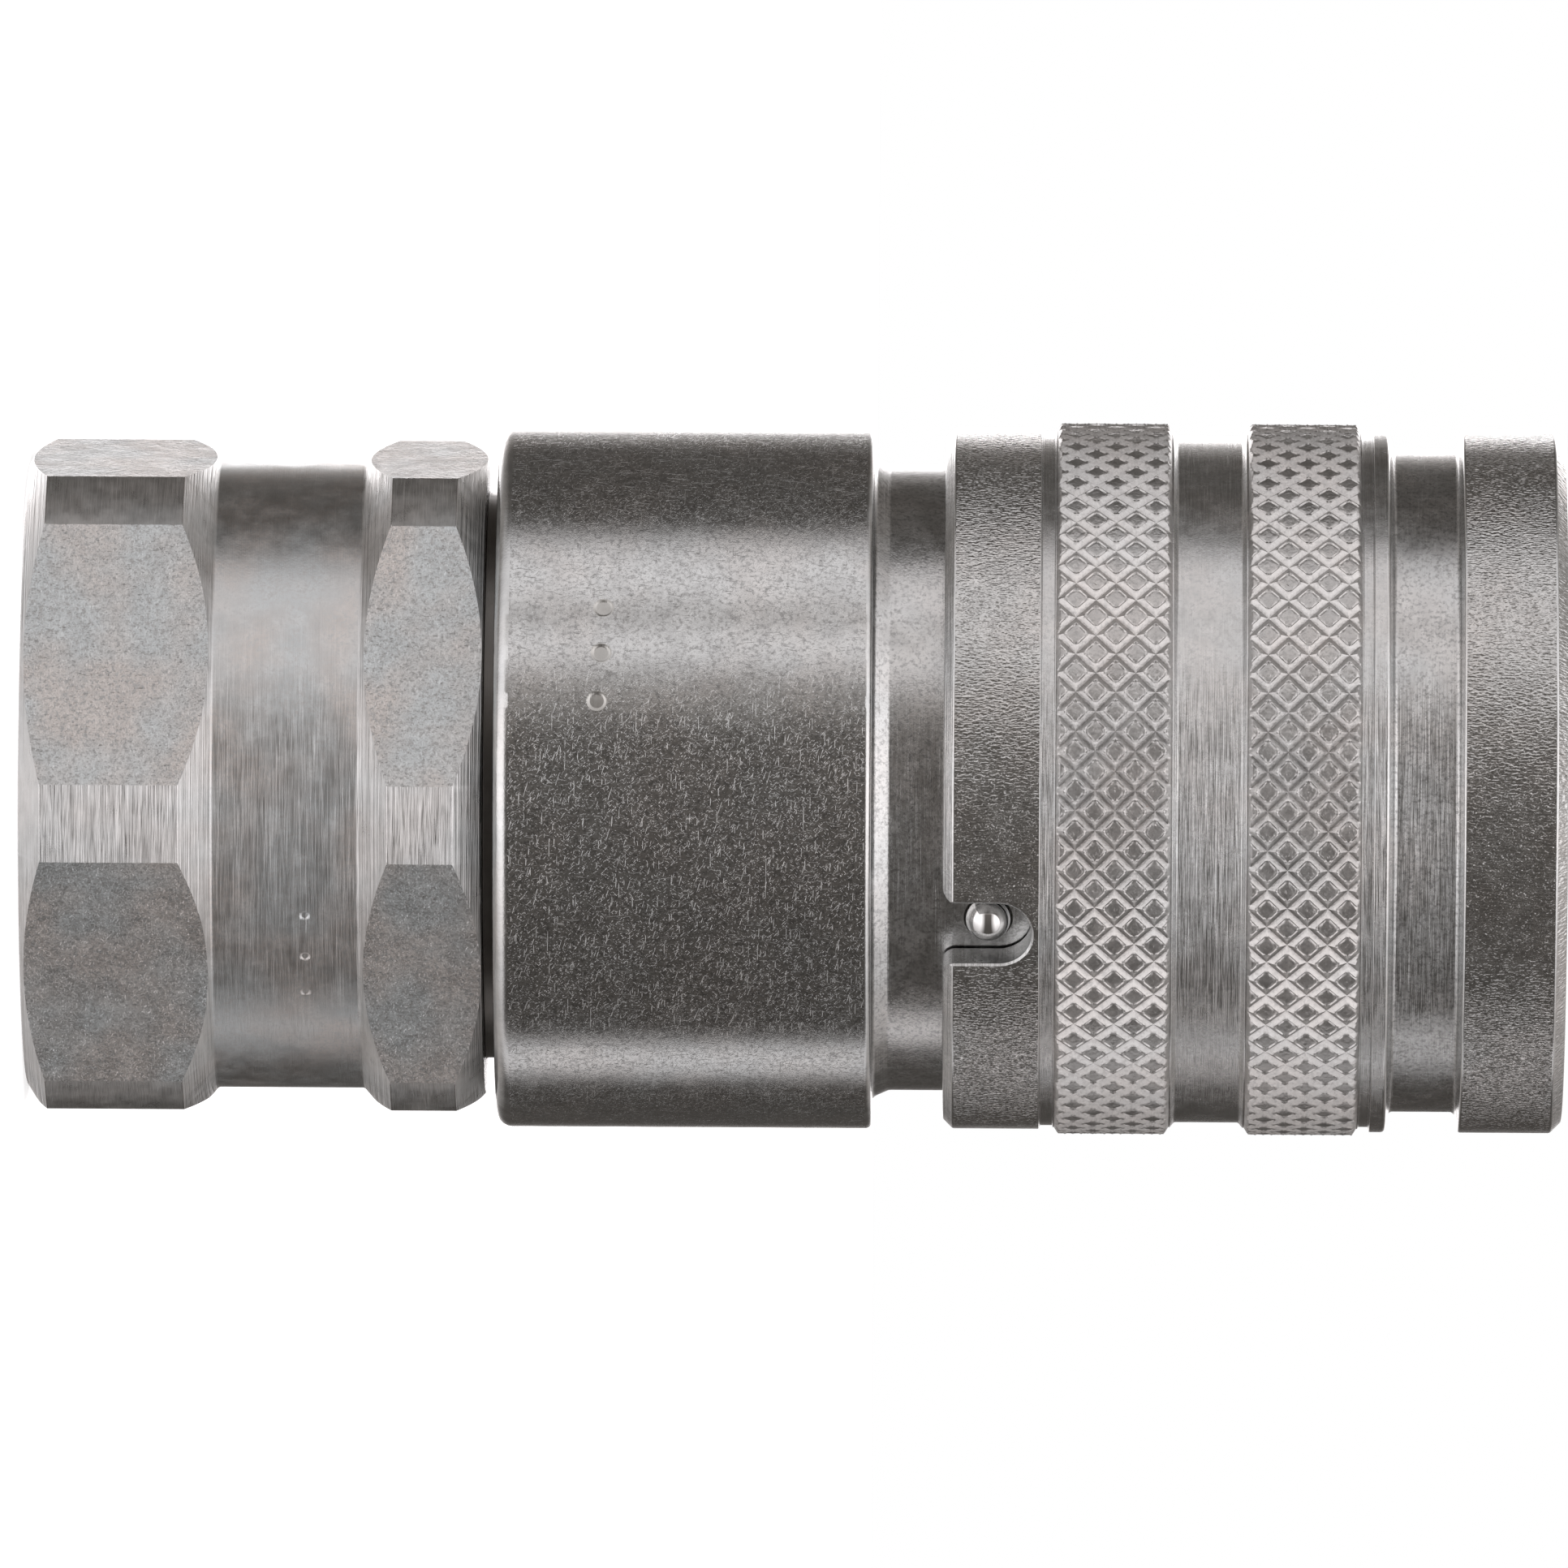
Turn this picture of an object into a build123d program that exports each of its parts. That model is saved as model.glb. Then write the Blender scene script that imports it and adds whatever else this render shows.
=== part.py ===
from build123d import *
import os
from math import cos, radians, sin, sqrt, tan

# Flat-face push-to-connect hydraulic coupler, female half, half-inch body.
# Units are millimetres.  +Z runs along the coupler's axis from the threaded port at z = 0
# towards the mating face.  The hexagon's corners point along +Y and -Y.

# ---- Driving dimensions: hexagon adapter ----
across_flats = 34.0
hex_corner_radius = 18.55
rim_radius = 16.64
rim_chamfer = 1.2
rear_hex_end = 8.5
rear_hex_chamfer = 1.2
waist_radius = 16.75
waist_start = 10.2
waist_end = 18.0
front_hex_start = 19.55
front_hex_end = 23.0
hex_front_face = 24.5
hex_front_radius = 16.95
spigot_radius = 15.1
spigot_end = 34.5
pilot_radius = 14.0
pilot_end = 38.5
joint_groove_start = 35.6
joint_groove_end = 37.6
joint_groove_radius = 12.45
flow_bore_radius = 11.0

# ---- Driving dimensions: threaded port, 1 1/16-12 UN with O-ring chamfer ----
port_minor_radius = 12.35
port_depth = 22.5
port_chamfer_radius = 14.6
port_chamfer_depth = 3.3
port_chamfer_angle = 12.0
port_lead_in = 0.9
drill_cone_depth = 0.8

# ---- Driving dimensions: coupler body ----
barrel_radius = 18.76
barrel_start = 25.1
barrel_end = 45.1
barrel_rear_edge = 0.6
barrel_front_edge = 0.35
thread_bore_radius = 15.2
pilot_bore_radius = 14.1
neck_radius = 16.7
neck_end = 57.5
nose_radius = 15.3
body_front = 81.7
body_front_chamfer = 0.4
valve_bore_radius = 13.15
valve_bore_end = 63.6
socket_radius = 12.3
mouth_radius = 12.5
mouth_start = 79.85
socket_chamfer = 0.5
socket_groove_start = 71.6
socket_groove_end = 74.4
socket_groove_radius = 13.9
stop_groove_start = 80.15
stop_groove_end = 81.25
stop_groove_radius = 14.4

# ---- Driving dimensions: locking balls and their ramp ----
ball_count = 10
ball_radius = 2.25
ball_plane = 77.5
ball_rest_radius = 14.6
ball_hole_radius = 2.33
ball_lip_radius = 2.16
ball_lip_height = 12.5
ball_travel = 1.3
sleeve_travel = 3.8

# ---- Driving dimensions: locking sleeve ----
sleeve_rear = 48.9
sleeve_front = 81.9
sleeve_bore_radius = 16.85
sleeve_rear_radius = 18.73
sleeve_rear_edge = 0.55
knurl_radius = 19.0
small_groove_depth = 0.2
small_groove_start = 54.0
rear_knurl_start = 54.8
rear_knurl_end = 60.95
grip_groove_radius = 18.33
front_knurl_start = 64.95
front_knurl_end = 71.0
collar_start = 71.65
collar_end = 72.45
front_groove_radius = 17.7
front_groove_end = 76.4
front_ring_radius = 18.8
front_ring_edge = 0.6
land_radius = 15.83
land_start = 71.2
pocket_radius = 17.0
slot_half_width = 1.83
slot_end = 53.6
slot_entry = 0.7
slot_angle = -72.1
safety_ball_radius = 1.2
safety_ball_height = 51.3
safety_hole_radius = 1.22
safety_hole_depth = 1.25

# ---- Driving dimensions: sleeve spring, washer and stop ring ----
sleeve_spring_wire = 1.2
sleeve_spring_mean = 16.05
sleeve_spring_turns = 5.0
washer_thickness = 0.6
washer_inner_radius = 15.45
washer_outer_radius = 16.7
washer_gap = 0.02
stop_ring_start = 80.2
stop_ring_end = 81.2
stop_ring_inner = 14.42
stop_ring_outer = 16.65
stop_ring_gap_angle = 24.0

# ---- Driving dimensions: valve ----
valve_nose = 78.0
valve_radius = 12.2
valve_rear = 61.0
collar_radius = 13.0
collar_front = 63.5
valve_seat_radius = 8.05
valve_seat_start = 75.2
valve_cone_start = 73.6
valve_flow_radius = 9.8
stem_head_radius = 8.0
stem_head_start = 75.4
stem_flare_start = 70.0
stem_shaft_radius = 4.5
stem_tail_radius = 3.5
stem_tail_end = 33.9
seal_groove_start = 76.0
seal_groove_end = 77.3
seal_groove_radius = 6.9
spider_radius = 14.0
spider_end = 42.0
spider_hole_count = 6
spider_hole_radius = 2.4
spider_hole_circle = 8.6
nut_across_flats = 11.0
nut_height = 4.0
valve_spring_wire = 1.5
valve_spring_mean = 12.0
valve_spring_turns = 6.0

# ---- Driving dimensions: seals ----
joint_seal_wire = 1.58
joint_seal_mean = 13.27
socket_seal_wire = 1.55
socket_seal_mean = 13.07
socket_seal_height = 73.55
backup_start = 71.65
backup_end = 72.7
backup_inner = 12.34
backup_outer = 13.85

os.makedirs("parts", exist_ok=True)


def write_part(part, name):
    """Label a finished piece and write it under its own name."""
    part.label = name
    export_step(part, "parts/" + name + ".step")


# ---- Hexagon adapter: turned blank, milled flats, port, spigot and joint groove ----
chamfer_floor = port_chamfer_radius - port_chamfer_depth * tan(radians(port_chamfer_angle))
thread_start = port_chamfer_depth + port_lead_in

with BuildPart() as port_adapter:
    with BuildSketch(Plane.XZ):
        with BuildLine():
            Polyline(
                (port_chamfer_radius, 0),
                (rim_radius, 0),
                (hex_corner_radius, rim_chamfer),
                (hex_corner_radius, rear_hex_end),
                (waist_radius + 0.6, rear_hex_end + rear_hex_chamfer),
                (waist_radius, waist_start),
                (waist_radius, waist_end),
                (hex_corner_radius, front_hex_start),
                (hex_corner_radius, front_hex_end),
                (hex_front_radius, hex_front_face),
                (spigot_radius, hex_front_face),
                (spigot_radius, spigot_end),
                (pilot_radius, spigot_end),
                (pilot_radius, joint_groove_start),
                (joint_groove_radius, joint_groove_start),
                (joint_groove_radius, joint_groove_end),
                (pilot_radius, joint_groove_end),
                (pilot_radius, pilot_end),
                (flow_bore_radius, pilot_end),
                (flow_bore_radius, port_depth + drill_cone_depth),
                (port_minor_radius, port_depth),
                (port_minor_radius, thread_start),
                (chamfer_floor, port_chamfer_depth),
                close=True,
            )
        make_face()
    revolve(axis=Axis.Z)
    with BuildSketch(Plane.XY):
        RegularPolygon(across_flats / 2, 6, major_radius=False, rotation=30)
    extrude(amount=pilot_end, mode=Mode.INTERSECT)
write_part(port_adapter.part, "port_adapter")

# ---- Coupler body: barrel, neck, ball cage and socket, drilled for the balls ----
safety_direction = Plane.XY.offset(safety_ball_height).rotated((0, 0, slot_angle))

with BuildPart() as coupler_body:
    with BuildSketch(Plane.XZ):
        with BuildLine():
            Polyline(
                (thread_bore_radius, barrel_start),
                (barrel_radius, barrel_start),
                (barrel_radius, barrel_end),
                (neck_radius, barrel_end),
                (neck_radius, neck_end),
                (nose_radius, neck_end),
                (nose_radius, stop_groove_start),
                (stop_groove_radius, stop_groove_start),
                (stop_groove_radius, stop_groove_end),
                (nose_radius, stop_groove_end),
                (nose_radius, body_front),
                (mouth_radius, body_front),
                (mouth_radius, mouth_start),
                (socket_radius, mouth_start),
                (socket_radius, socket_groove_end),
                (socket_groove_radius, socket_groove_end),
                (socket_groove_radius, socket_groove_start),
                (socket_radius, socket_groove_start),
                (socket_radius, valve_bore_end),
                (valve_bore_radius, valve_bore_end),
                (valve_bore_radius, spider_end),
                (pilot_bore_radius, spider_end),
                (pilot_bore_radius, spigot_end),
                (thread_bore_radius, spigot_end),
                close=True,
            )
        make_face()
    revolve(axis=Axis.Z)
    circles = coupler_body.edges().filter_by(GeomType.CIRCLE)
    barrel_circles = circles.filter_by(lambda edge: abs(edge.radius - barrel_radius) < 0.01)
    fillet(barrel_circles.sort_by(Axis.Z)[0], barrel_rear_edge)
    fillet(barrel_circles.sort_by(Axis.Z)[-1], barrel_front_edge)
    front_circles = circles.filter_by(lambda edge: abs(edge.center().Z - body_front) < 0.01)
    chamfer(front_circles.sort_by(SortBy.RADIUS)[-1], body_front_chamfer)
    chamfer(front_circles.sort_by(SortBy.RADIUS)[0], socket_chamfer)
    with Locations((0, 0, ball_plane)):
        with PolarLocations(ball_rest_radius, ball_count):
            Cylinder(ball_lip_radius, 2 * ball_radius + 2, rotation=(0, 90, 0), mode=Mode.SUBTRACT)
        with PolarLocations(ball_lip_height, ball_count):
            Cylinder(
                ball_hole_radius,
                2 * ball_radius,
                rotation=(0, 90, 0),
                align=(Align.CENTER, Align.CENTER, Align.MIN),
                mode=Mode.SUBTRACT,
            )
    with Locations(safety_direction * Location((neck_radius - safety_hole_depth, 0, 0))):
        Cylinder(
            safety_hole_radius,
            2 * safety_hole_depth,
            rotation=(0, 90, 0),
            align=(Align.CENTER, Align.CENTER, Align.MIN),
            mode=Mode.SUBTRACT,
        )
write_part(coupler_body.part, "coupler_body")

# ---- Safety ball, staked half-deep in the neck ----
with BuildPart() as safety_ball:
    with Locations(safety_direction * Location((neck_radius, 0, 0))):
        Sphere(safety_ball_radius)
write_part(safety_ball.part, "safety_ball")

# ---- Locking balls, one in each hole of the body, held out by the valve sleeve ----
for number in range(ball_count):
    ball_direction = radians(360 * number / ball_count)
    ball_centre = (ball_rest_radius * cos(ball_direction), ball_rest_radius * sin(ball_direction), ball_plane)
    with BuildPart() as locking_ball:
        with Locations(ball_centre):
            Sphere(ball_radius)
    write_part(locking_ball.part, "locking_ball_" + str(number + 1))

# ---- Locking sleeve: grip bands and grooves outside, ball ramp and pocket inside ----
# The ramp is parallel to the balls' path relative to the sleeve and 0.1 mm clear of them.
ramp_clearance = 0.1
ramp_slope = ball_travel / sleeve_travel
ramp_length_ratio = sqrt(1 + ramp_slope**2)
ramp_rise = (ball_radius + ramp_clearance) * ramp_length_ratio
ramp_offset = ball_rest_radius + ramp_rise - ramp_slope * ball_plane
land_end = (land_radius - ramp_offset) / ramp_slope
pocket_start = (pocket_radius - ramp_offset) / ramp_slope
small_groove_radius = sleeve_rear_radius - small_groove_depth

with BuildPart() as locking_sleeve:
    with BuildSketch(Plane.XZ):
        with BuildLine():
            Polyline(
                (sleeve_bore_radius, sleeve_rear),
                (sleeve_rear_radius, sleeve_rear),
                (sleeve_rear_radius, small_groove_start),
                (small_groove_radius, small_groove_start + 0.2),
                (small_groove_radius, rear_knurl_start - 0.2),
                (knurl_radius - 0.1, rear_knurl_start),
                (knurl_radius, rear_knurl_start + 0.15),
                (knurl_radius, rear_knurl_end),
                (grip_groove_radius, rear_knurl_end + 0.1),
                (grip_groove_radius, front_knurl_start - 0.1),
                (knurl_radius, front_knurl_start),
                (knurl_radius, front_knurl_end - 0.15),
                (knurl_radius - 0.1, front_knurl_end),
                (small_groove_radius, front_knurl_end + 0.2),
                (small_groove_radius, collar_start - 0.1),
                (sleeve_rear_radius, collar_start),
                (sleeve_rear_radius, collar_end - 0.2),
                (sleeve_rear_radius - 0.2, collar_end),
                (front_groove_radius, collar_end),
                (front_groove_radius, front_groove_end),
                (front_ring_radius - 0.15, front_groove_end),
                (front_ring_radius, front_groove_end + 0.15),
                (front_ring_radius, sleeve_front - front_ring_edge),
                (front_ring_radius - front_ring_edge, sleeve_front),
                (pocket_radius + 0.4, sleeve_front),
                (pocket_radius, sleeve_front - 0.4),
                (pocket_radius, pocket_start),
                (land_radius, land_end),
                (land_radius, land_start),
                (sleeve_bore_radius, land_start),
                close=True,
            )
        make_face()
    revolve(axis=Axis.Z)
    rear_edges = locking_sleeve.edges().group_by(Axis.Z)[0]
    chamfer(rear_edges.sort_by(SortBy.RADIUS)[-1], sleeve_rear_edge)
    # The safety slot is open at the rear, with a round end and eased entry corners.
    with BuildSketch(Plane.YZ.rotated((0, 0, slot_angle))):
        with BuildLine():
            entry_side = slot_half_width + slot_entry
            entry_height = sleeve_rear + slot_entry
            round_centre = slot_end - slot_half_width
            right_mouth = Line((entry_side, sleeve_rear - 1), (entry_side, sleeve_rear))
            right_entry = RadiusArc(right_mouth @ 1, (slot_half_width, entry_height), slot_entry)
            right_side = Line(right_entry @ 1, (slot_half_width, round_centre))
            round_end = ThreePointArc(right_side @ 1, (0, slot_end), (-slot_half_width, round_centre))
            left_side = Line(round_end @ 1, (-slot_half_width, entry_height))
            left_entry = RadiusArc(left_side @ 1, (-entry_side, sleeve_rear), slot_entry)
            left_mouth = Line(left_entry @ 1, (-entry_side, sleeve_rear - 1))
            Line(left_mouth @ 1, right_mouth @ 0)
        make_face()
    extrude(amount=knurl_radius + 1, mode=Mode.SUBTRACT)
write_part(locking_sleeve.part, "locking_sleeve")

# ---- Sleeve spring, from the neck's shoulder to the washer, with ground ends ----
washer_front = land_start - washer_gap
washer_rear = washer_front - washer_thickness
sleeve_spring_length = washer_rear - neck_end
sleeve_spring_pitch = sleeve_spring_length / sleeve_spring_turns

with BuildPart() as sleeve_spring:
    with BuildLine():
        sleeve_spring_path = Helix(
            sleeve_spring_pitch, sleeve_spring_length, sleeve_spring_mean, center=(0, 0, neck_end)
        )
    with BuildSketch(Plane(origin=sleeve_spring_path @ 0, z_dir=sleeve_spring_path % 0)):
        Circle(sleeve_spring_wire / 2)
    sweep(path=sleeve_spring_path, is_frenet=True)
    with BuildSketch(Plane.XY.offset(neck_end)):
        Circle(knurl_radius)
    extrude(amount=sleeve_spring_length, mode=Mode.INTERSECT)
write_part(sleeve_spring.part, "sleeve_spring")

# ---- Spring washer, between the sleeve spring and the sleeve's inner land ----
with BuildPart() as spring_washer:
    with BuildSketch(Plane.XY.offset(washer_rear)):
        Circle(washer_outer_radius)
        Circle(washer_inner_radius, mode=Mode.SUBTRACT)
    extrude(amount=washer_thickness)
write_part(spring_washer.part, "spring_washer")

# ---- Sleeve stop ring: a split snap ring in the body's front groove ----
with BuildPart() as sleeve_stop_ring:
    with BuildSketch(Plane.XY.offset(stop_ring_start)):
        Circle(stop_ring_outer)
        Circle(stop_ring_inner, mode=Mode.SUBTRACT)
        with BuildLine():
            reach = 2 * stop_ring_outer
            half_gap = radians(stop_ring_gap_angle / 2)
            Polyline(
                (0, 0),
                (reach * sin(half_gap), reach * cos(half_gap)),
                (-reach * sin(half_gap), reach * cos(half_gap)),
                close=True,
            )
        make_face(mode=Mode.SUBTRACT)
    extrude(amount=stop_ring_end - stop_ring_start)
write_part(sleeve_stop_ring.part, "sleeve_stop_ring")

# ---- Valve sleeve: holds the balls out at rest and seals round the stem's head ----
with BuildPart() as valve_sleeve:
    with BuildSketch(Plane.XZ):
        with BuildLine():
            Polyline(
                (valve_flow_radius, valve_rear),
                (collar_radius, valve_rear),
                (collar_radius, collar_front),
                (valve_radius, collar_front),
                (valve_radius, valve_nose - 0.25),
                (valve_radius - 0.25, valve_nose),
                (valve_seat_radius, valve_nose),
                (valve_seat_radius, valve_seat_start),
                (valve_flow_radius, valve_cone_start),
                close=True,
            )
        make_face()
    revolve(axis=Axis.Z)
write_part(valve_sleeve.part, "valve_sleeve")

# ---- Valve spring, from the spider to the valve sleeve's collar, with ground ends ----
valve_spring_length = valve_rear - spider_end
valve_spring_pitch = valve_spring_length / valve_spring_turns

with BuildPart() as valve_spring:
    with BuildLine():
        valve_spring_path = Helix(
            valve_spring_pitch, valve_spring_length, valve_spring_mean, center=(0, 0, spider_end)
        )
    with BuildSketch(Plane(origin=valve_spring_path @ 0, z_dir=valve_spring_path % 0)):
        Circle(valve_spring_wire / 2)
    sweep(path=valve_spring_path, is_frenet=True)
    with BuildSketch(Plane.XY.offset(spider_end)):
        Circle(valve_bore_radius)
    extrude(amount=valve_spring_length, mode=Mode.INTERSECT)
write_part(valve_spring.part, "valve_spring")

# ---- Valve stem: flat head with a seal groove, flared shaft and threaded tail ----
with BuildPart() as valve_stem:
    with BuildSketch(Plane.XZ):
        with BuildLine():
            Polyline(
                (0, stem_tail_end),
                (stem_tail_radius, stem_tail_end),
                (stem_tail_radius, spider_end),
                (stem_shaft_radius, spider_end),
                (stem_shaft_radius, stem_flare_start),
                (stem_head_radius, stem_head_start),
                (stem_head_radius, seal_groove_start),
                (seal_groove_radius, seal_groove_start),
                (seal_groove_radius, seal_groove_end),
                (stem_head_radius, seal_groove_end),
                (stem_head_radius, valve_nose),
                (0, valve_nose),
                close=True,
            )
        make_face()
    revolve(axis=Axis.Z)
write_part(valve_stem.part, "valve_stem")

# ---- Stem seal, bonded in the head's groove ----
with BuildPart() as stem_seal:
    with BuildSketch(Plane.XY.offset(seal_groove_start)):
        Circle(stem_head_radius)
        Circle(seal_groove_radius, mode=Mode.SUBTRACT)
    extrude(amount=seal_groove_end - seal_groove_start)
write_part(stem_seal.part, "stem_seal")

# ---- Stem spider: drilled disc clamped between the adapter and the body ----
with BuildPart() as stem_spider:
    with BuildSketch(Plane.XY.offset(pilot_end)):
        Circle(spider_radius)
        Circle(stem_tail_radius, mode=Mode.SUBTRACT)
        with PolarLocations(spider_hole_circle, spider_hole_count):
            Circle(spider_hole_radius, mode=Mode.SUBTRACT)
    extrude(amount=spider_end - pilot_end)
write_part(stem_spider.part, "stem_spider")

# ---- Stem nut, behind the spider ----
with BuildPart() as stem_nut:
    with BuildSketch(Plane.XY.offset(pilot_end - nut_height)):
        RegularPolygon(nut_across_flats / 2, 6, major_radius=False)
        Circle(stem_tail_radius, mode=Mode.SUBTRACT)
    extrude(amount=nut_height)
write_part(stem_nut.part, "stem_nut")

# ---- Seals: adapter O-ring, socket O-ring and its backup ring ----
with BuildPart() as adapter_o_ring:
    with Locations((0, 0, (joint_groove_start + joint_groove_end) / 2)):
        Torus(joint_seal_mean, joint_seal_wire / 2)
write_part(adapter_o_ring.part, "adapter_o_ring")

with BuildPart() as socket_o_ring:
    with Locations((0, 0, socket_seal_height)):
        Torus(socket_seal_mean, socket_seal_wire / 2)
write_part(socket_o_ring.part, "socket_o_ring")

with BuildPart() as socket_backup_ring:
    with BuildSketch(Plane.XY.offset(backup_start)):
        Circle(backup_outer)
        Circle(backup_inner, mode=Mode.SUBTRACT)
    extrude(amount=backup_end - backup_start)
write_part(socket_backup_ring.part, "socket_backup_ring")
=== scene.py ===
from math import atan2, ceil, cos, degrees, pi, radians, sin, sqrt, tan

import bpy
import numpy as np
from mathutils import Matrix, Vector


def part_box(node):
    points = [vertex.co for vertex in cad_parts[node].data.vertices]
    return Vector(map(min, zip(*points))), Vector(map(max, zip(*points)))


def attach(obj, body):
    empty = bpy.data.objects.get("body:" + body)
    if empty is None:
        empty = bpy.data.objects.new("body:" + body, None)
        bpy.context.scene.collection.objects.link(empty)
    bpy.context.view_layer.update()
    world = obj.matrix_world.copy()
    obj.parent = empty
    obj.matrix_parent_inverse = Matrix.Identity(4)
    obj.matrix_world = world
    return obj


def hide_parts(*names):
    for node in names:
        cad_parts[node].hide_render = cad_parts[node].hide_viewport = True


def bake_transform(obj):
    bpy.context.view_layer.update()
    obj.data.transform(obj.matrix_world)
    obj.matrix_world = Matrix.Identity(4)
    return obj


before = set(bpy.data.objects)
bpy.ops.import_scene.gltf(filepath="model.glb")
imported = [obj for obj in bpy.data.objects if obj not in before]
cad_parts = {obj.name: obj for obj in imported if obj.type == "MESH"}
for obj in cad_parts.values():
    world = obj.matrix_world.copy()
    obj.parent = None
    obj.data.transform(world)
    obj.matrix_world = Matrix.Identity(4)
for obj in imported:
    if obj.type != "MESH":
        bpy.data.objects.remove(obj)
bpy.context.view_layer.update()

# Sizes are in millimetres unless a name says otherwise.  The coupler stands on its port face
# at height 0 with its axis along +Z, as in the frame.
MM = 0.001

# The noise levels over which a surface detail goes from nothing to full.
detail_span = (0.25, 0.75)
cloud_span = (0.35, 0.65)

# Panel strengths are divided by this to fit a colour, and the world multiplies them back.
full_strength = 4.0

# ---------------------------------------------------------------------------
# Places read from the frame
# ---------------------------------------------------------------------------


def heights(node):
    """Lowest and highest point of a CAD node, in millimetres."""
    low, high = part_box(node)
    return low.z / MM, high.z / MM


def outer_radius(node):
    """Half of a CAD node's width, in millimetres."""
    low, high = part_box(node)
    return (high.x - low.x) / 2 / MM


sleeve_rear, sleeve_front = heights("locking_sleeve")
barrel_start, body_front = heights("coupler_body")
barrel_radius = outer_radius("coupler_body")
knurl_radius = outer_radius("locking_sleeve")
across_flats = 2 * outer_radius("port_adapter")
ball_low, ball_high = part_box("safety_ball")
safety_ball_centre = (ball_low + ball_high) / 2
slot_polar = atan2(safety_ball_centre.y, safety_ball_centre.x)

# ---------------------------------------------------------------------------
# Viewing direction: the camera stands at this polar angle, and angles named "turn" are
# measured from it, positive towards the lower side of the picture.
# ---------------------------------------------------------------------------
camera_polar = radians(-98.43)


def polar_of_turn(turn_degrees):
    """Polar angle in the frame of an angle measured from the camera's direction."""
    return camera_polar + radians(turn_degrees)


# ---------------------------------------------------------------------------
# Materials
# ---------------------------------------------------------------------------
class Nodes:
    """Short calls for building one node tree."""

    def __init__(self, tree):
        self.tree = tree
        tree.nodes.clear()

    def add(self, kind, inputs=(), **settings):
        """Adds a node, sets its properties, and links or sets its inputs."""
        node = self.tree.nodes.new(kind)
        for key, value in settings.items():
            setattr(node, key, value)
        for key, value in dict(inputs).items():
            if isinstance(value, bpy.types.NodeSocket):
                self.tree.links.new(value, node.inputs[key])
            else:
                node.inputs[key].default_value = value
        return node

    def math(self, operation, first, second=0.0, third=0.0):
        node = self.add("ShaderNodeMath", {0: first, 1: second, 2: third}, operation=operation)
        return node.outputs[0]

    def stretched(self, factors):
        """Object coordinates scaled by a factor along each axis, in units of 1/mm."""
        place = self.add("ShaderNodeTexCoord")
        scale = tuple(f / MM for f in factors)
        return self.add(
            "ShaderNodeMapping", {"Vector": place.outputs["Object"], "Scale": scale}
        ).outputs[0]

    def noise(self, factors, detail=2.0, roughness=0.5, distortion=0.0):
        node = self.add(
            "ShaderNodeTexNoise",
            {
                "Vector": self.stretched(factors),
                "Scale": 1.0,
                "Detail": detail,
                "Roughness": roughness,
                "Distortion": distortion,
            },
        )
        return node.outputs["Fac"]

    def ramp(self, value, low, high, out_low=0.0, out_high=1.0):
        """Maps low..high to out_low..out_high and holds the ends."""
        node = self.add(
            "ShaderNodeMapRange",
            {"Value": value, "From Min": low, "From Max": high, "To Min": out_low, "To Max": out_high},
        )
        return node.outputs[0]

    def colour(self, factor, first, second, **settings):
        """Mixes two colours, each given as a tuple or as a socket."""
        node = self.add("ShaderNodeMix", {"Factor": factor}, data_type="RGBA", **settings)
        for socket, value in ((node.inputs[6], first), (node.inputs[7], second)):
            if isinstance(value, bpy.types.NodeSocket):
                self.tree.links.new(value, socket)
            else:
                socket.default_value = (*value, 1)
        return node.outputs[2]

    def bump(self, height, depth_mm, below=None):
        """A bump whose full height is depth_mm, laid over the bump below."""
        node = self.add("ShaderNodeBump", {"Height": height, "Strength": 1.0, "Distance": depth_mm * MM})
        if below is not None:
            self.tree.links.new(below, node.inputs["Normal"])
        return node.outputs[0]


def unrolled(n, radius=18.7):
    """Surface coordinates of a turned part in millimetres: along the girth and along the axis."""
    place = n.add("ShaderNodeTexCoord").outputs["Object"]
    parts = n.add("ShaderNodeSeparateXYZ", {0: place})
    girth = n.math("MULTIPLY", n.math("ARCTAN2", parts.outputs[1], parts.outputs[0]), radius)
    along = n.math("DIVIDE", parts.outputs[2], MM)
    return n.add("ShaderNodeCombineXYZ", {0: girth, 1: along}).outputs[0]


def strokes(n, surface, angle, width, length, seed, low, high):
    """Short strokes lying at one angle on the unrolled surface: the peaks of a stretched noise."""
    turned = n.add(
        "ShaderNodeMapping", {"Vector": surface, "Rotation": (0, 0, angle), "Location": (0, 0, seed)}
    ).outputs[0]
    scaled = n.add(
        "ShaderNodeMapping", {"Vector": turned, "Scale": (1 / length, 1 / width, 1)}
    ).outputs[0]
    noise = n.add("ShaderNodeTexNoise", {"Vector": scaled, "Scale": 1.0, "Detail": 1.0}).outputs["Fac"]
    return n.ramp(noise, low, high)


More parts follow.
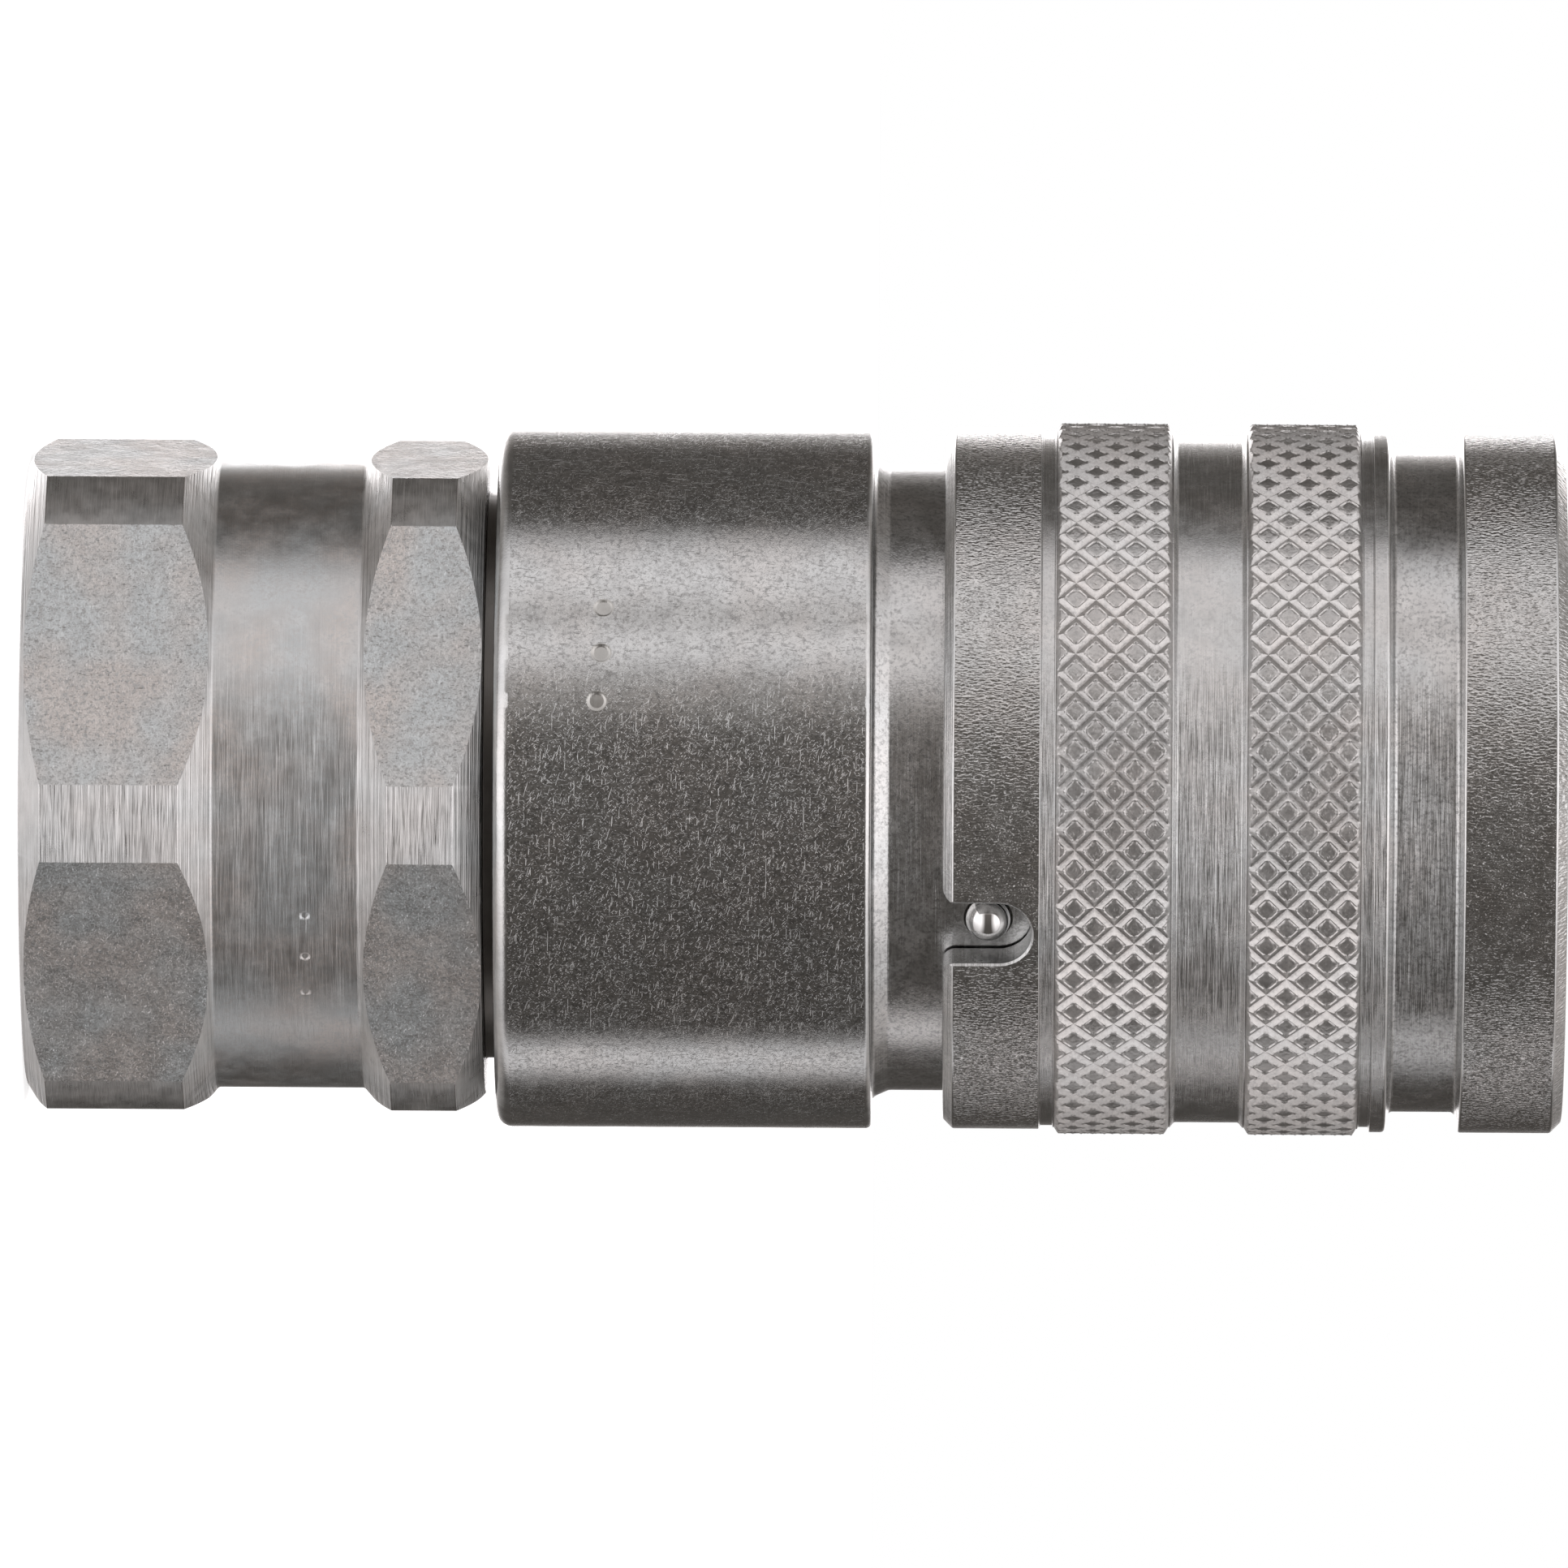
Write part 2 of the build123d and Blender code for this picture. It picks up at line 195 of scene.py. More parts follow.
def steel(
    name,
    tint=(0.61, 0.61, 0.605),
    roughness=0.2,
    spread=0.05,
    lines=0.0,
    line_pitch=0.1,
    peel=0.0,
    grain=0.0,
    grain_size=0.12,
    scratches=0.0,
    stains=0.0,
    mottle=0.05,
    rust=0.0,
    blotch=0.35,
):
    """Zinc-plated steel.  The heights of lines, peel, grain and scratches are in millimetres."""
    material = bpy.data.materials.new(name)
    material.use_nodes = True
    n = Nodes(material.node_tree)
    surface = unrolled(n)
    cloudy = n.noise((0.8, 0.8, 0.8), detail=5.0, roughness=0.65)
    dark = tuple(c * (1 - 2 * mottle) for c in tint)
    light = tuple(min(1.0, c * (1 + 2 * mottle)) for c in tint)
    colour = n.colour(n.ramp(cloudy, *cloud_span), dark, light)
    warmth = n.ramp(n.noise((0.22, 0.22, 0.22), detail=3.0), 0.40, 0.60)
    warm = tuple(1 - blotch * (1 - c) for c in (1.0, 0.955, 0.93))
    cool = tuple(1 - blotch * (1 - c) for c in (0.95, 0.985, 1.0))
    plating = n.colour(warmth, warm, cool)
    colour = n.colour(1.0, colour, plating, blend_type="MULTIPLY")
    rough = n.ramp(cloudy, *cloud_span, roughness - spread, roughness + spread)
    normal = None
    if peel:
        girth_size, axial_size = 0.12, 0.32
        dashes = n.add(
            "ShaderNodeMapping", {"Vector": surface, "Scale": (1 / girth_size, 1 / axial_size, 1)}
        ).outputs[0]
        waves = n.add("ShaderNodeTexNoise", {"Vector": dashes, "Scale": 1.0, "Detail": 1.0}).outputs["Fac"]
        normal = n.bump(n.ramp(waves, *detail_span), peel, normal)
    if lines:
        ring = n.noise((0.08, 0.08, 1 / line_pitch), detail=3.0, roughness=0.7)
        normal = n.bump(n.ramp(ring, *detail_span), lines, normal)
    if grain:
        speckle = n.noise((1 / grain_size,) * 3, detail=2.0, roughness=0.6)
        normal = n.bump(n.ramp(speckle, *detail_span), grain, normal)
    if scratches:
        # Each kind of stroke: width, length, and the noise levels where it begins and is full.
        long_strokes, short_strokes = (0.06, 1.1, 0.71, 0.76), (0.05, 0.25, 0.68, 0.78)
        marks = None
        for index in range(8):
            angle = radians(17 + 41 * index)
            width, length, low, high = short_strokes if index % 2 else long_strokes
            layer = strokes(n, surface, angle, width, length, 7.3 * index, low, high)
            marks = layer if marks is None else n.math("MAXIMUM", marks, layer)
        normal = n.bump(marks, scratches, normal)
        rough = n.math("ADD", rough, n.math("MULTIPLY", marks, 0.20))
    if stains:
        spots = n.noise((4.5, 4.5, 4.5), detail=4.0, roughness=0.7)
        clean = n.ramp(spots, 0.36, 0.52)
        stain_colour = tuple(c * (1 - stains) for c in tint)
        colour = n.colour(clean, stain_colour, colour)
    if rust:
        spots = n.ramp(n.noise((1.4, 1.4, 1.4), detail=3.0), 0.80 - rust, 0.84 - rust)
        rust_colour = (0.35, 0.16, 0.06)
        colour = n.colour(spots, colour, rust_colour)
    shader = n.add(
        "ShaderNodeBsdfPrincipled", {"Base Color": colour, "Roughness": rough, "Metallic": 1.0}
    )
    if normal is not None:
        n.tree.links.new(normal, shader.inputs["Normal"])
    n.add("ShaderNodeOutputMaterial", {"Surface": shader.outputs[0]})
    return material


def matte(name, dark, light, roughness, grain, grain_size):
    """A non-metal with a fine grain: seals and the backup ring."""
    material = bpy.data.materials.new(name)
    material.use_nodes = True
    n = Nodes(material.node_tree)
    speckle = n.noise((1 / grain_size,) * 3, detail=3.0)
    colour = n.colour(speckle, dark, light)
    shader = n.add(
        "ShaderNodeBsdfPrincipled",
        {"Base Color": colour, "Roughness": n.ramp(speckle, 0.3, 0.7, roughness - 0.1, roughness + 0.1)},
    )
    n.tree.links.new(n.bump(speckle, grain), shader.inputs["Normal"])
    n.add("ShaderNodeOutputMaterial", {"Surface": shader.outputs[0]})
    return material


materials = {
    "tumbled": steel(
        "tumbled_barrel", roughness=0.13, grain=0.003, grain_size=0.07, scratches=0.006, stains=0.40
    ),
    "peened": steel(
        "peened_band", tint=(0.645, 0.64, 0.63), roughness=0.18, peel=0.036, grain=0.003, stains=0.24
    ),
    "turned": steel(
        "turned_groove", roughness=0.24, lines=0.018, line_pitch=0.08, grain=0.003, stains=0.15
    ),
    "neck": steel("turned_neck", roughness=0.22, lines=0.006, line_pitch=0.08, grain=0.005, stains=0.35),
    "scuffed": steel("scuffed_groove", roughness=0.24, lines=0.014, line_pitch=0.08, stains=0.40),
    "waist": steel(
        "turned_waist",
        roughness=0.34,
        lines=0.011,
        line_pitch=0.07,
        grain=0.003,
        stains=0.10,
        blotch=1.0,
    ),
    "ruled": steel("ruled_chamfer", roughness=0.32, lines=0.040, line_pitch=0.13),
    "flat": steel(
        "milled_flat", roughness=0.42, grain=0.055, grain_size=0.26, stains=0.32, blotch=1.2
    ),
    "knurl": steel(
        "knurled_band", tint=(0.58, 0.57, 0.56), roughness=0.38, grain=0.010, stains=0.20, rust=0.02
    ),
    "edge": steel("polished_edge", roughness=0.20, grain=0.004),
    "inside": steel(
        "inner_steel", tint=(0.5, 0.49, 0.47), roughness=0.30, lines=0.006, line_pitch=0.1
    ),
    # Painted shade: near-black steel on the recessed thread wall inside the adapter's rear bore. It is
    # darker than the steel is and stands in for the shade that falls in that recess.
    "shade": steel(
        "painted_shade_thread", tint=(0.16, 0.15, 0.14), roughness=0.35, lines=0.010, line_pitch=0.3
    ),
    "valve": steel("valve_face", roughness=0.20, lines=0.003, line_pitch=0.08, mottle=0.03),
    "ball": steel("bearing_ball", tint=(0.74, 0.73, 0.72), roughness=0.07, spread=0.02, mottle=0.02),
    "wire": steel("spring_wire", tint=(0.38, 0.37, 0.36), roughness=0.32, grain=0.006),
    "rubber": matte("seal_rubber", (0.010, 0.010, 0.010), (0.035, 0.034, 0.033), 0.55, 0.01, 0.15),
    "plastic": matte("backup_plastic", (0.70, 0.67, 0.60), (0.82, 0.79, 0.72), 0.45, 0.005, 0.2),
}

# ---------------------------------------------------------------------------
# Mesh building
# ---------------------------------------------------------------------------


def finish_piece(name, points, faces, normals, zones, face_zone, body, nodes):
    """Makes a mesh object from points in millimetres, with a normal at each point."""
    mesh = bpy.data.meshes.new(name)
    mesh.from_pydata((np.asarray(points, float) * MM).tolist(), [], faces)
    for zone in zones:
        mesh.materials.append(materials[zone])
    mesh.polygons.foreach_set("use_smooth", np.ones(len(faces), bool))
    mesh.polygons.foreach_set("material_index", np.asarray(face_zone, np.int32))
    mesh.validate()
    mesh.update()
    if normals is not None:
        mesh.normals_split_custom_set_from_vertices(np.asarray(normals, float).tolist())
    piece = bpy.data.objects.new(name, mesh)
    bpy.context.scene.collection.objects.link(piece)
    if body:
        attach(piece, body)
    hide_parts(*nodes)
    return piece


def rounded(corners, step_degrees):
    """Points, normals and zones of a closed outline in (radius, height), with each corner rounded.

    A corner is (radius, height, rounding, zone of the edge that follows it).  Outlines run
    anticlockwise, so the outside is on the right of each edge.
    """
    points, normals, zones = [], [], []
    count = len(corners)
    for i, (r, z, rounding, zone) in enumerate(corners):
        before = np.array(corners[i - 1][:2], float)
        here = np.array((r, z), float)
        after = np.array(corners[(i + 1) % count][:2], float)
        came, goes = here - before, after - here
        came_length, goes_length = np.linalg.norm(came), np.linalg.norm(goes)
        came, goes = came / came_length, goes / goes_length
        normal_in = np.array((came[1], -came[0]))
        normal_out = np.array((goes[1], -goes[0]))
        turn = atan2(came[0] * goes[1] - came[1] * goes[0], float(came @ goes))
        reach = min(rounding * abs(tan(turn / 2)), 0.45 * came_length, 0.45 * goes_length)
        radius = reach / max(abs(tan(turn / 2)), 1e-9)
        side = 1 if turn > 0 else -1
        if rounding <= 0 or abs(turn) < 1e-3:
            points.append(here)
            normals.append(normal_out)
            zones.append(zone)
            continue
        centre = here - came * reach - side * normal_in * radius
        steps = ceil(abs(degrees(turn)) / step_degrees)
        for step in range(steps + 1):
            angle = turn * step / steps
            normal = np.array(
                (
                    normal_in[0] * cos(angle) - normal_in[1] * sin(angle),
                    normal_in[0] * sin(angle) + normal_in[1] * cos(angle),
                )
            )
            points.append(centre + side * radius * normal)
            normals.append(normal)
            convex_edge = side > 0 and abs(turn) > 0.3
            zones.append(zone if step == steps else ("edge" if convex_edge else zone))
    return np.array(points), np.array(normals), zones


def turned_piece(name, corners, segments, body, nodes, step_degrees=18):
    """A closed piece turned round the Z axis from a rounded outline."""
    points, normals, edge_zones = rounded(corners, step_degrees)
    zones = sorted(set(edge_zones))
    count = len(points)
    angles = 2 * pi * np.arange(segments) / segments
    c, s = np.cos(angles), np.sin(angles)
    on_axis = points[:, 0] < 1e-6
    all_points, all_normals, index = [], [], np.zeros((count, segments), int)
    for j in range(count):
        if on_axis[j]:
            index[j, :] = len(all_points)
            all_points.append((0, 0, points[j, 1]))
            all_normals.append((0, 0, np.sign(normals[j, 1]) or 1))
            continue
        index[j, :] = len(all_points) + np.arange(segments)
        r, z = points[j]
        all_points.extend(np.column_stack((r * c, r * s, np.full(segments, z))))
        nr, nz = normals[j]
        all_normals.extend(np.column_stack((nr * c, nr * s, np.full(segments, nz))))
    faces, face_zone = [], []
    for j in range(count):
        following = (j + 1) % count
        if on_axis[j] and on_axis[following]:
            continue
        for k in range(segments):
            onward = (k + 1) % segments
            corners_of_face = (index[j, k], index[j, onward], index[following, onward], index[following, k])
            faces.append(tuple(dict.fromkeys(int(i) for i in corners_of_face)))
            face_zone.append(zones.index(edge_zones[j]))
    return finish_piece(name, all_points, faces, all_normals, zones, face_zone, body, nodes)


def tube_faces(rings, count):
    """Faces of a closed body of rings with equal numbers of points: its walls and its two ends."""
    faces = []
    for j in range(rings - 1):
        for k in range(count):
            onward = (k + 1) % count
            a, b = j * count + k, j * count + onward
            faces.append((a, b, b + count, a + count))
    faces.append(tuple(range(count))[::-1])
    last = (rings - 1) * count
    faces.append(tuple(last + k for k in range(count)))
    return faces


def ridge_along(path, section):
    """Points and faces of a bar that carries a section along a path of (centre, out, along) frames."""
    points = []
    for centre, out, along in path:
        for side, up in section:
            points.append(centre + out * side + along * up)
    return points, tube_faces(len(path), len(section))


def helix_frames(radius, height_of_turn, turns, steps_per_turn):
    """Frames along a helix: centre, outward direction and axial direction."""
    frames = []
    for step in range(int(turns * steps_per_turn) + 1):
        turn = step / steps_per_turn
        angle = 2 * pi * turn
        out = np.array((cos(angle), sin(angle), 0.0))
        centre = out * radius + np.array((0, 0, height_of_turn(turn)))
        frames.append((centre, out, np.array((0.0, 0.0, 1.0))))
    return frames


def smooth_by_angle(mesh, angle_degrees):
    """Smooth shading, with edges sharper than the angle kept sharp."""
    mesh.polygons.foreach_set("use_smooth", np.ones(len(mesh.polygons), bool))
    mesh.set_sharp_from_angle(angle=radians(angle_degrees))


def cut(piece, cutter, operation="DIFFERENCE", sharp_degrees=20):
    """Applies a boolean, and keeps edges sharper than the angle sharp."""
    boolean = piece.modifiers.new("cut", "BOOLEAN")
    boolean.operation = operation
    boolean.solver = "EXACT"
    boolean.material_mode = "TRANSFER"
    boolean.object = cutter
    evaluated = piece.evaluated_get(bpy.context.evaluated_depsgraph_get())
    mesh = bpy.data.meshes.new_from_object(evaluated)
    piece.modifiers.clear()
    piece.data = mesh
    smooth_by_angle(mesh, sharp_degrees)
    bpy.data.objects.remove(cutter)


def weight_normals(piece):
    """Bakes normals weighted by face area, and exact ones where the surface is a cylinder about the axis."""
    weighted = piece.modifiers.new("weighted", "WEIGHTED_NORMAL")
    weighted.keep_sharp = True
    weighted.weight = 100
    evaluated = piece.evaluated_get(bpy.context.evaluated_depsgraph_get())
    mesh = bpy.data.meshes.new_from_object(evaluated)
    piece.modifiers.clear()
    piece.data = mesh
    corner = np.empty(len(mesh.loops) * 3, np.float32)
    mesh.corner_normals.foreach_get("vector", corner)
    corner = corner.reshape(-1, 3)
    vertex = np.empty(len(mesh.loops), np.int32)
    mesh.loops.foreach_get("vertex_index", vertex)
    place = np.empty(len(mesh.vertices) * 3, np.float32)
    mesh.vertices.foreach_get("co", place)
    outward = place.reshape(-1, 3)[vertex] * (1, 1, 0)
    outward /= np.maximum(np.linalg.norm(outward, axis=1), 1e-9)[:, None]
    face_normal = np.empty(len(mesh.polygons) * 3, np.float32)
    mesh.polygons.foreach_get("normal", face_normal)
    corners_per_face = np.empty(len(mesh.polygons), np.int32)
    mesh.polygons.foreach_get("loop_total", corners_per_face)
    of_face = np.repeat(face_normal.reshape(-1, 3), corners_per_face, axis=0)
    facing = np.sum(of_face * outward, axis=1)
    cylinder_facing = 0.9985
    round_face = np.abs(facing) > cylinder_facing
    corner[round_face] = outward[round_face] * np.sign(facing[round_face])[:, None]
    mesh.normals_split_custom_set(corner.tolist())


def tool(name, points, faces, zone):
    """A closed cutting body with one material, in millimetres."""
    mesh = bpy.data.meshes.new(name)
    mesh.from_pydata((np.asarray(points, float) * MM).tolist(), [], faces)
    mesh.materials.append(materials[zone])
    mesh.update()
    body = bpy.data.objects.new(name, mesh)
    bpy.context.scene.collection.objects.link(body)
    return body


def stacked_prism(outlines):
    """Points and faces of a closed body that joins outlines with equal numbers of points."""
    points = [p for outline in outlines for p in outline]
    return points, tube_faces(len(outlines), len(outlines[0]))


def merged(parts):
    """Several bodies' points and faces as one list."""
    points, faces = [], []
    for part_points, part_faces in parts:
        base = len(points)
        points.extend(part_points)
        faces.extend(tuple(base + i for i in face) for face in part_faces)
    return points, faces


def radial_drill(polar, height, layers, sides=48):
    """A round cutter pointing out from the axis; layers are (distance from the axis, radius)."""
    out = np.array((cos(polar), sin(polar), 0.0))
    side = np.array((-sin(polar), cos(polar), 0.0))
    up = np.array((0.0, 0.0, 1.0))
    outlines = []
    for reach, radius in layers:
        ring = []
        for k in range(sides):
            angle = 2 * pi * k / sides
            ring.append(out * reach + (side * cos(angle) + up * sin(angle)) * radius + up * height)
        outlines.append(ring)
    return stacked_prism(outlines)


# ---------------------------------------------------------------------------
# Sleeve
# ---------------------------------------------------------------------------
sleeve_segments = 720
rear_band = 18.73
rear_knurl = (54.80, 60.95)
front_knurl = (64.95, 71.00)
knurl_seat = 18.35


def locking_sleeve():
    """The sliding sleeve: turned grooves between bands, a slot for the safety ball, seats for the knurls."""
    back, front = sleeve_rear, sleeve_front
    corners = [
        (16.85, back, 0.15, "turned"),
        (18.21, back, 0.12, "turned"),
        (rear_band, back + 0.52, 0.15, "peened"),
        (rear_band, 54.00, 0.06, "turned"),
        (18.53, 54.08, 0.04, "turned"),
        (18.53, 54.72, 0.04, "turned"),
        (18.70, 54.80, 0.03, "turned"),
        (knurl_seat, 54.90, 0.03, "turned"),
        (knurl_seat, 60.85, 0.03, "turned"),
        (18.66, 60.97, 0.05, "turned"),
        (18.33, 61.25, 0.15, "turned"),
        (18.33, 64.65, 0.15, "turned"),
        (18.66, 64.93, 0.05, "turned"),
        (knurl_seat, 65.05, 0.03, "turned"),
        (knurl_seat, 70.90, 0.03, "turned"),
        (18.70, 71.00, 0.03, "turned"),
        (18.53, 71.08, 0.04, "turned"),
        (18.53, 71.57, 0.04, "turned"),
        (18.80, 71.65, 0.07, "turned"),
        (18.80, 72.45, 0.22, "turned"),
        (17.70, 72.70, 0.25, "scuffed"),
        (17.70, 76.15, 0.25, "scuffed"),
        (18.80, 76.40, 0.15, "peened"),
        (18.80, front - 0.60, 0.20, "peened"),
        (18.20, front, 0.20, "turned"),
        (17.00, front, 0.15, "turned"),
        (17.00, 77.255, 0.10, "inside"),
        (15.83, 73.835, 0.10, "inside"),
        (15.83, 71.20, 0.08, "inside"),
        (16.85, 71.20, 0.08, "inside"),
    ]
    piece = turned_piece(
        "locking_sleeve_shell", corners, sleeve_segments, "sleeve", ["locking_sleeve"]
    )
    half_width, end, entry, bevel_start = 1.77, 53.60, 0.70, 18.62
    flat_end = end - half_width
    entry_steps, end_steps = 12, 48
    outline = [(-half_width - entry, back - 1.0)]
    for k in range(entry_steps + 1):
        angle = radians(90 * k / entry_steps)
        outline.append((-half_width - entry * (1 - sin(angle)), back + entry * (1 - cos(angle))))
    for k in range(end_steps + 1):
        angle = pi - pi * k / end_steps
        outline.append((half_width * cos(angle), flat_end + half_width * sin(angle)))
    for k in range(entry_steps, -1, -1):
        angle = radians(90 * k / entry_steps)
        outline.append((half_width + entry * (1 - sin(angle)), back + entry * (1 - cos(angle))))
    outline.append((half_width + entry, back - 1.0))
    outline = np.array(outline)
    ahead = np.roll(outline, -1, 0) - np.roll(outline, 1, 0)
    ahead /= np.linalg.norm(ahead, axis=1)[:, None]
    outward = np.column_stack((-ahead[:, 1], ahead[:, 0]))
    outward[0] = outward[-1] = (0, 0)
    out = np.array((cos(slot_polar), sin(slot_polar), 0.0))
    side = np.array((-sin(slot_polar), cos(slot_polar), 0.0))
    layers = []
    for reach, widening in ((15.0, 0.0), (bevel_start, 0.0), (19.10, 0.5)):
        layer = []
        for (u, z), grow in zip(outline, outward):
            u, z = u + grow[0] * widening, z + grow[1] * widening
            layer.append(out * sqrt(reach**2 - u**2) + side * u + np.array((0, 0, z)))
        layers.append(layer)
    points, faces = stacked_prism(layers)
    outward_faces = [face[::-1] for face in faces]
    cut(piece, tool("slot_cutter", points, outward_faces, "turned"))
    weight_normals(piece)


def knurl_ring(name, low, high):
    """A band of crossing grooves: rims stand round small, slightly sunk lands left rough."""
    cells, per_cell, pitch, diagonal = 56, 24, 2.12, 1.5
    squareness = 3.4
    bore, groove_bottom, rim_width_end = 17.9, 0.24, 0.3125
    land_start, land_roughness = 0.36, 0.008
    segments = cells * per_cell
    step = pitch / per_cell
    rows = int(round((high - low) / step))
    heights_of_rows = low + (high - low) * np.arange(rows + 1) / rows
    lines = np.arange(rows + 1) / per_cell
    turns = np.arange(segments) / per_cell
    a, b = np.meshgrid(turns, lines)
    first = np.abs((a + b) - np.round(a + b)) * diagonal
    second = np.abs((a - b) - np.round(a - b)) * diagonal
    across, over = diagonal / 2 - first, diagonal / 2 - second
    centre = (across**squareness + over**squareness) ** (1 / squareness)
    depth = np.minimum(first, second)
    land_depth = diagonal / 2 - centre
    top = knurl_radius
    wall = np.interp(depth, (0.0, 0.25, rim_width_end), (top - groove_bottom, top - 0.03, top))
    land = np.interp(
        land_depth, (0.25, 0.31, land_start, 0.5), (top, top - 0.10, top - 0.05, top - 0.04)
    )
    radius = np.minimum(wall, land)
    roughness = np.random.default_rng(7).normal(0, land_roughness, radius.shape)
    radius = np.where(land_depth > land_start, radius + roughness, radius)
    end = np.minimum(heights_of_rows - low, high - heights_of_rows)[:, None]
    radius = np.minimum(radius, rear_band - 0.15 + 1.6 * end)
    radius = np.minimum(radius, top)
    angle = 2 * pi * np.arange(segments) / segments
    level = np.repeat(heights_of_rows[:, None], segments, 1)
    outer = np.stack((radius * np.cos(angle), radius * np.sin(angle), level), -1)
    inner = []
    for z in (low + 0.15, high - 0.15):
        ring = np.column_stack((bore * np.cos(angle), bore * np.sin(angle), np.full(segments, z)))
        inner.append(ring)
    points = np.concatenate([outer.reshape(-1, 3)] + inner)
    j, k = np.meshgrid(np.arange(rows), np.arange(segments), indexing="ij")
    onward = (k + 1) % segments
    p00, p01 = j * segments + k, j * segments + onward
    p10, p11 = p00 + segments, p01 + segments
    mid_a, mid_b = (k + 0.5) / per_cell, (j + 0.5) / per_cell
    near_first = np.abs((mid_a + mid_b) - np.round(mid_a + mid_b))
    near_second = np.abs((mid_a - mid_b) - np.round(mid_a - mid_b))
    falling = near_first < near_second
    triangles = []
    for mask, one, two in (
        (falling, (p00, p01, p10), (p01, p11, p10)),
        (~falling, (p00, p01, p11), (p00, p11, p10)),
    ):
        triangles.append(np.stack([q[mask] for q in one], -1))
        triangles.append(np.stack([q[mask] for q in two], -1))
    faces = [tuple(f) for f in np.concatenate(triangles).tolist()]
    base, last_row = (rows + 1) * segments, rows * segments
    for s in range(segments):
        t = (s + 1) % segments
        faces.append((base + s, base + t, t, s))
        faces.append((last_row + s, last_row + t, base + segments + t, base + segments + s))
        faces.append((base + segments + s, base + segments + t, base + t, base + s))
    piece = finish_piece(
        name, points, faces, None, ["knurl"], [0] * len(faces), "sleeve", []
    )
    smooth_by_angle(piece.data, 32)


# ---------------------------------------------------------------------------
# Body
# ---------------------------------------------------------------------------
body_segments = 720
punch_turns = (-28.2, -20.2, -12.1)
punch_heights = (30.9, 30.8, 30.6)
ball_count = 10


def coupler_body():
    """The fixed body: barrel, neck under the sleeve, nose with ball holes, and the socket bore."""
    start, front = barrel_start, body_front
    corners = [
        (15.20, start, 0.20, "turned"),
        (barrel_radius, start, 0.80, "tumbled"),
        (barrel_radius, start + 20.0, 0.35, "neck"),
        (17.10, start + 20.0, 0.40, "neck"),
        (16.70, start + 20.9, 0.50, "neck"),
        (16.70, 57.50, 0.05, "turned"),
        (15.30, 57.50, 0.05, "turned"),
        (15.30, 80.15, 0.05, "turned"),
        (14.40, 80.15, 0.05, "turned"),
        (14.40, 81.25, 0.05, "turned"),
        (15.30, 81.25, 0.05, "turned"),
        (15.30, front, 0.15, "turned"),
        (13.40, front, 0.20, "turned"),
        (12.50, 81.20, 0.10, "turned"),
        (12.50, 79.85, 0.10, "inside"),
        (12.30, 79.75, 0.05, "inside"),
        (12.30, 74.40, 0.08, "inside"),
        (13.90, 74.40, 0.08, "inside"),
        (13.90, 71.60, 0.08, "inside"),
        (12.30, 71.60, 0.08, "inside"),
        (12.30, 63.60, 0.08, "inside"),
        (13.15, 63.60, 0.08, "inside"),
        (13.15, 42.00, 0.08, "inside"),
        (14.10, 42.00, 0.08, "inside"),
        (14.10, 34.50, 0.08, "inside"),
        (15.20, 34.50, 0.08, "inside"),
    ]
    piece = turned_piece(
        "coupler_body_shell", corners, body_segments, "coupler", ["coupler_body"]
    )
    drills = []
    ball_hole = ((11.5, 2.16), (12.50, 2.16), (12.56, 2.33), (16.5, 2.33))
    for number in range(1, ball_count + 1):
        low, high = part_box(f"locking_ball_{number}")
        centre = (low + high) / 2
        polar = atan2(centre.y, centre.x)
        drills.append(radial_drill(polar, centre.z / MM, ball_hole))
    ball_gap = ((15.4, 1.24), (16.62, 1.24), (16.90, 1.52))
    drills.append(radial_drill(slot_polar, safety_ball_centre.z / MM, ball_gap))
    punch = (
        (barrel_radius - 0.10, 0.36),
        (barrel_radius - 0.07, 0.45),
        (barrel_radius + 0.23, 0.90),
    )
    for turn, height in zip(punch_turns, punch_heights):
        drills.append(radial_drill(polar_of_turn(turn), height, punch))
    points, faces = merged(drills)
    cut(piece, tool("body_cutter", points, faces, "inside"))
    weight_normals(piece)


# ---------------------------------------------------------------------------
# Port adapter
# ---------------------------------------------------------------------------
thread_major, thread_minor, thread_pitch = 13.45, 12.37, 25.4 / 12
waist_turns = (26.6, 35.3, 43.7)
waist_dot_height = 15.15


